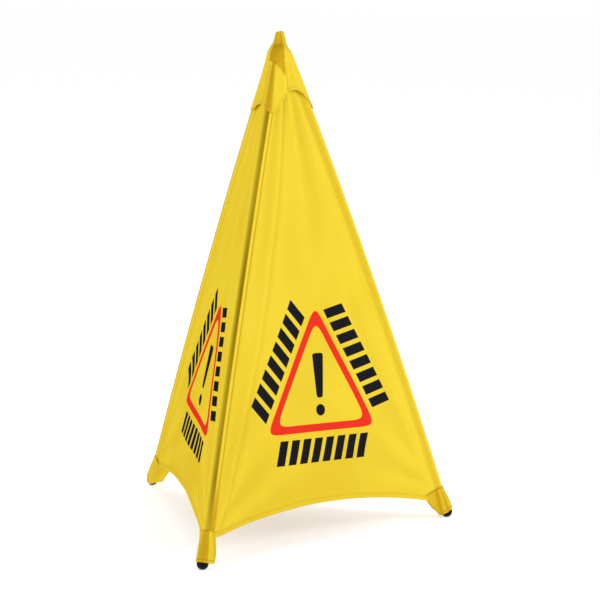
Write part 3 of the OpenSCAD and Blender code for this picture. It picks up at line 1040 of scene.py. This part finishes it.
def make_tab():
    s = np.linspace(-1, 1, TAB_COLUMNS)
    front = -1.5 * MM * bump(s, 0.35, 0.28) + 1.1 * MM * smooth((s - 0.4) / 0.6)
    front += 0.7 * MM * bump(s, -0.5, 0.5)
    loop_s = np.concatenate([s, s[::-1]])
    loop_y = np.concatenate([-TAB_T / 2 - front, (TAB_T / 2 - front)[::-1]])
    edge = np.sqrt(np.maximum(1 - np.abs(loop_s) ** 6, 0))
    rows = []
    for t in np.linspace(0, 1, TAB_ROWS):
        half = TAB_BASE_HALF + (TAB_TIP_HALF - TAB_BASE_HALF) * t**1.15
        shut = math.sqrt(max(1 - t**10, 0)) * 0.92 + 0.08
        middle = -np.concatenate([front, front[::-1]])
        y = middle * (1 - 0.35 * t) + (loop_y - middle) * edge * shut
        top = TAB_TIP_Z - MM + MM * loop_s
        z = TAB_BASE_Z + (top - TAB_BASE_Z) * t
        x = half * loop_s + 0.9 * MM * math.sin(math.pi * t) + 0.5 * MM
        rows.append(around(TAB_ANGLE, y, x, z))
    points = np.stack(rows)
    faces = capped_faces(*points.shape[:2])
    made = new_object("pull_tab_cloth", points, faces, plain_cloth)
    # Painted shade over most of the tab, deepest along a line beside the lit strip at one edge
    fold = 0.60 * smooth((0.42 - loop_s) / 0.1) + 0.3 * bump(loop_s, 0.33, 0.12)
    across = np.broadcast_to(loop_s * 10 * MM, points.shape[:2])
    set_cloth_values(made, across, points[..., 2], fold=fold)
    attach(made, "hub")
    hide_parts("pull_tab")
    return made


# --- The corner pockets over the feet

# For each leg: the pocket's height, its depth towards the axis at the mouth and at the top, its
# flanks' spread in degrees at the top, how far they are pressed on the cover there, its twist in
# degrees at the top, and the rise of the mouth's edge at the nose and its fall at the back
POCKET_TOP = per_leg(50, 44, 46, unit=MM)
POCKET_LOW_DEPTH = per_leg(15, 15.5, 10.5, unit=MM)
POCKET_TOP_DEPTH = per_leg(17, 33, 27, unit=MM)
POCKET_TOP_SPREAD = per_leg(21, 26, 29)
POCKET_PRESS = per_leg(0, 1.2, 2.8, unit=MM)
POCKET_TWIST = per_leg(12, 0, 0)
POCKET_NOSE_RISE = per_leg(0, 3, 4, unit=MM)
POCKET_BACK_FALL = per_leg(0, 0, 6.5, unit=MM)
# For each leg: how much painted shade lies on the whole pocket, its hems, its nose and its sides
POCKET_SHADE = per_leg(0.14, 0.22, 0.10)
LINE_SHADE = per_leg(1, 1, 0.3)
NOSE_SHADE = per_leg(0.6, 0.34, 0.1)
SIDE_SHADE = per_leg(0.4, 0.7, 0.12)
POCKET_LOW = 1.5 * MM
POCKET_LOW_SPREAD = 12
POCKET_LOW_NOSE = 10.4
POCKET_TOP_NOSE = 6.3
POCKET_CORNER = 4 * MM
POCKET_CORNER_HEIGHT = 9 * MM
# The mouth's turned hem, as HEM_PROFILE
POCKET_HEM = [
    (5.0, -0.9), (3.0, -0.9), (1.0, -0.8), (0.0, -0.45), (0.0, 0.1), (1.0, 0.35), (3.0, 0.38),
    (4.2, -0.08),
]
POCKET_HEM_TOP = 5.2 * MM
POCKET_HEM_SEAM = 4.2 * MM
POCKET_ROWS = 30
POCKET_STITCH_ROW = 6
POCKET_T = 0.6 * MM
POCKET_SLACK = 0.6 * MM


def pocket_ring(nose, spread, depth, press):
    """Outline of a pocket in a plane across the leg: a round nose, two flanks and a back."""
    half_turn = math.pi / 2 - spread
    arc = np.linspace(-half_turn, half_turn, 33)
    front = np.stack([nose * np.cos(arc), nose * np.sin(arc)], axis=1)
    start, end = front[-1], np.array([-depth, (nose + depth * math.sin(spread)) / math.cos(spread)])
    t = np.linspace(0, 1, 12)[1:, None]
    outside = np.array([math.sin(spread), math.cos(spread)])
    lift = POCKET_SLACK * np.sin(math.pi * t) - press * smooth(t / 0.3)
    flank = start * (1 - t) + end * t + lift * outside
    end = flank[-1]
    across = np.linspace(1, -1, 17)[1:-1, None]
    back = np.concatenate([end[0] + 2.5 * MM * (1 - across**2), across * end[1]], axis=1)
    mirrored = (flank * [1, -1])[::-1]
    return np.concatenate([front, flank, back, mirrored])


def pocket_outline(leg, height, out):
    """Outline of leg's pocket at a height along the leg, with its folds, moved outward by out."""
    share = height / POCKET_TOP[leg]
    w = smooth(share**1.3)
    nose = (POCKET_LOW_NOSE + (POCKET_TOP_NOSE - POCKET_LOW_NOSE) * w) * MM
    spread = math.radians(POCKET_LOW_SPREAD + (POCKET_TOP_SPREAD[leg] - POCKET_LOW_SPREAD) * w)
    depth = POCKET_LOW_DEPTH[leg] + (POCKET_TOP_DEPTH[leg] - POCKET_LOW_DEPTH[leg]) * share
    depth = depth - POCKET_CORNER * max(1 - height / POCKET_CORNER_HEIGHT, 0) ** 2
    ring = pocket_ring(nose + out, spread, depth + out, POCKET_PRESS[leg] * w)
    twist = math.radians(POCKET_TWIST[leg]) * w
    c, s = math.cos(twist), math.sin(twist)
    ring = ring @ np.array([[c, s], [-s, c]])
    angle = np.arctan2(ring[:, 1], ring[:, 0])
    pull = 1.0 - 0.05 * math.sin(math.pi * min(share, 1)) * np.sin(5 * angle + 0.6)
    pull -= 0.03 * np.sin(9 * angle + 60 * height)
    return ring * pull[:, None], angle


def pocket_shade(leg, height, angle):
    """Painted shade at both hems, on the nose, in the creases and on the flanks."""
    hems = 0.8 * bump(height - POCKET_LOW, POCKET_HEM_SEAM, 0.7 * MM)
    hems += 0.35 * bump(height, POCKET_TOP[leg] - 1 * MM, 0.8 * MM)
    nose = NOSE_SHADE[leg] * smooth((angle + 1.3) / 1.2) * smooth((1.12 - angle) / 0.2)
    sides = bump(angle, -1.42, 0.28) + 0.85 * bump(angle, -2.2, 0.16)
    sides = sides + 0.7 * bump(angle, 2.35, 0.2) + 0.6 * bump(angle, 1.0, 0.07)
    sides = SIDE_SHADE[leg] * (sides + 0.4 * smooth((np.abs(angle) - 2.0) / 0.3))
    return np.clip(POCKET_SHADE[leg] + LINE_SHADE[leg] * hems + nose + sides, 0, 1)


def make_pocket(leg):
    out, side = outward(leg_angle(leg)), sideways(leg_angle(leg))
    foot = FOOT_R * out + FOOT_Z * UP
    end_lean = LEAN - 4 * BOW / LEG_LENGTH
    along = math.cos(end_lean) * UP - math.sin(end_lean) * out
    across = math.cos(end_lean) * out + math.sin(end_lean) * UP
    half_side = FOOT_R * SIN_60
    top, steps = POCKET_TOP[leg], np.linspace(0, 1, POCKET_ROWS)
    rows = sheet_rows(POCKET_HEM, POCKET_LOW, POCKET_LOW + POCKET_HEM_TOP, top, steps)
    points, shade, dark, shares = [], [], [], []
    for height, offset in rows:
        ring, angle = pocket_outline(leg, height, offset)
        from_leg = np.maximum(-ring[:, 0], 0) / SIN_60
        shares.append(np.clip((half_side - from_leg) / (half_side - RIGID_X), 0, 1))
        facing = np.cos(angle)
        rise = np.where(facing > 0, POCKET_NOSE_RISE[leg], POCKET_BACK_FALL[leg]) * facing
        place = foot + np.multiply.outer(height + rise * (1 - height / top), along)
        place = place + np.multiply.outer(ring[:, 0], across) + np.multiply.outer(ring[:, 1], side)
        points.append(place)
        shade.append(pocket_shade(leg, height, angle))
        # Painted shade where the dark leg shows through near the pocket's nose
        dark.append(0.12 * bump(angle, 0.55, 0.4) * smooth(1.4 - height / top))
    points, shares = np.stack(points), np.stack(shares)
    count, around_it = points.shape[:2]
    faces = grid_faces(count, around_it, closed=True)
    made = new_object(f"corner_pocket_cloth_{leg}", points, faces, plain_cloth)
    lengths = np.broadcast_to(2 * MM * np.arange(1, around_it + 1), shares.shape)
    set_cloth_values(made, lengths, points[..., 2], rod=np.stack(dark), fold=np.stack(shade))
    thicken(made, POCKET_T)
    blend_to_leg(made)
    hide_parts(f"corner_pocket_{leg}")
    grids = (points, grid_normals(points - foot), shares)
    again = np.arange(around_it + 1) % around_it
    lines = [[grid[row, again] for grid in grids] for row in (POCKET_STITCH_ROW, count - 3)]
    return made, make_stitches(f"pocket_stitches_{leg}", lines)


# --- The springs' wire


def make_spring(leg):
    """The spring's wire, copied from the CAD piece, with the spring steel finish."""
    node = frame["nodes"][f"torsion_spring_{leg}"]
    mesh = node.data.copy()
    mesh.transform(node.matrix_world)
    made = bpy.data.objects.new(f"spring_wire_{leg}", mesh)
    bpy.context.collection.objects.link(made)
    mesh.materials.clear()
    mesh.materials.append(FINISHES["spring_steel"])
    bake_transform(made)
    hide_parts(f"torsion_spring_{leg}")
    return made


# --- Finishes of the CAD pieces

METAL = dict(
    grain=dict(scale=800.0, detail=4.0, roughness=0.6), bump=(0.15, 0.05 * MM), metallic=1.0
)
FINISHES = {
    "black_foot": glossy_foot_material(),
    "moulded_grey": grained_material(
        "moulded_grey_plastic",
        dark=(0.085, 0.085, 0.09, 1),
        light=(0.15, 0.15, 0.155, 1),
        rough=(0.48, 0.66),
        grain=dict(scale=1500.0, detail=3.0, roughness=0.6),
        bump=(0.25, 0.08 * MM),
        cloud=dict(scale=60.0, detail=3.0),
    ),
    "fibreglass": grained_material(
        "fibreglass_rod",
        dark=(0.035, 0.035, 0.034, 1),
        light=(0.12, 0.118, 0.11, 1),
        rough=(0.3, 0.5),
        grain=dict(scale=700.0, detail=3.0, roughness=0.6, stretch=(1.0, 1.0, 0.03)),
        bump=(0.2, 0.06 * MM),
    ),
    "zinc_steel": grained_material(
        "zinc_steel", (0.42, 0.43, 0.45, 1), (0.68, 0.69, 0.71, 1), (0.27, 0.44), **METAL
    ),
    "spring_steel": grained_material(
        "spring_steel", (0.2, 0.2, 0.21, 1), (0.4, 0.4, 0.42, 1), (0.23, 0.4), **METAL
    ),
}
# How the names of the CAD pieces with each finish start
FINISHED = {
    "moulded_grey": ("top_hub", "hub_cap", "leg_socket"),
    "zinc_steel": ("cap_screw", "hinge_pins", "rod_rivet"),
    "fibreglass": ("leg_rod",),
    "black_foot": ("foot_tip",),
}


def finish_cad_nodes(finish, starts):
    for name, part in frame["nodes"].items():
        if not name.startswith(starts):
            continue
        if not part.material_slots:
            part.data.materials.append(None)
        for material_slot in part.material_slots:
            material_slot.link = "OBJECT"
            material_slot.material = FINISHES[finish]


# --- Building: the finishes, the cover, springs, hood, tab and pockets

for finish, starts in FINISHED.items():
    finish_cad_nodes(finish, starts)
for i in LEGS:
    cover, threads = make_cover(i)
    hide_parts(f"cover_panel_{i}", f"leg_sleeve_{i}")
    make_spring(i)
crown, lobes = make_hood()
make_tab()
for i in LEGS:
    pocket, threads = make_pocket(i)
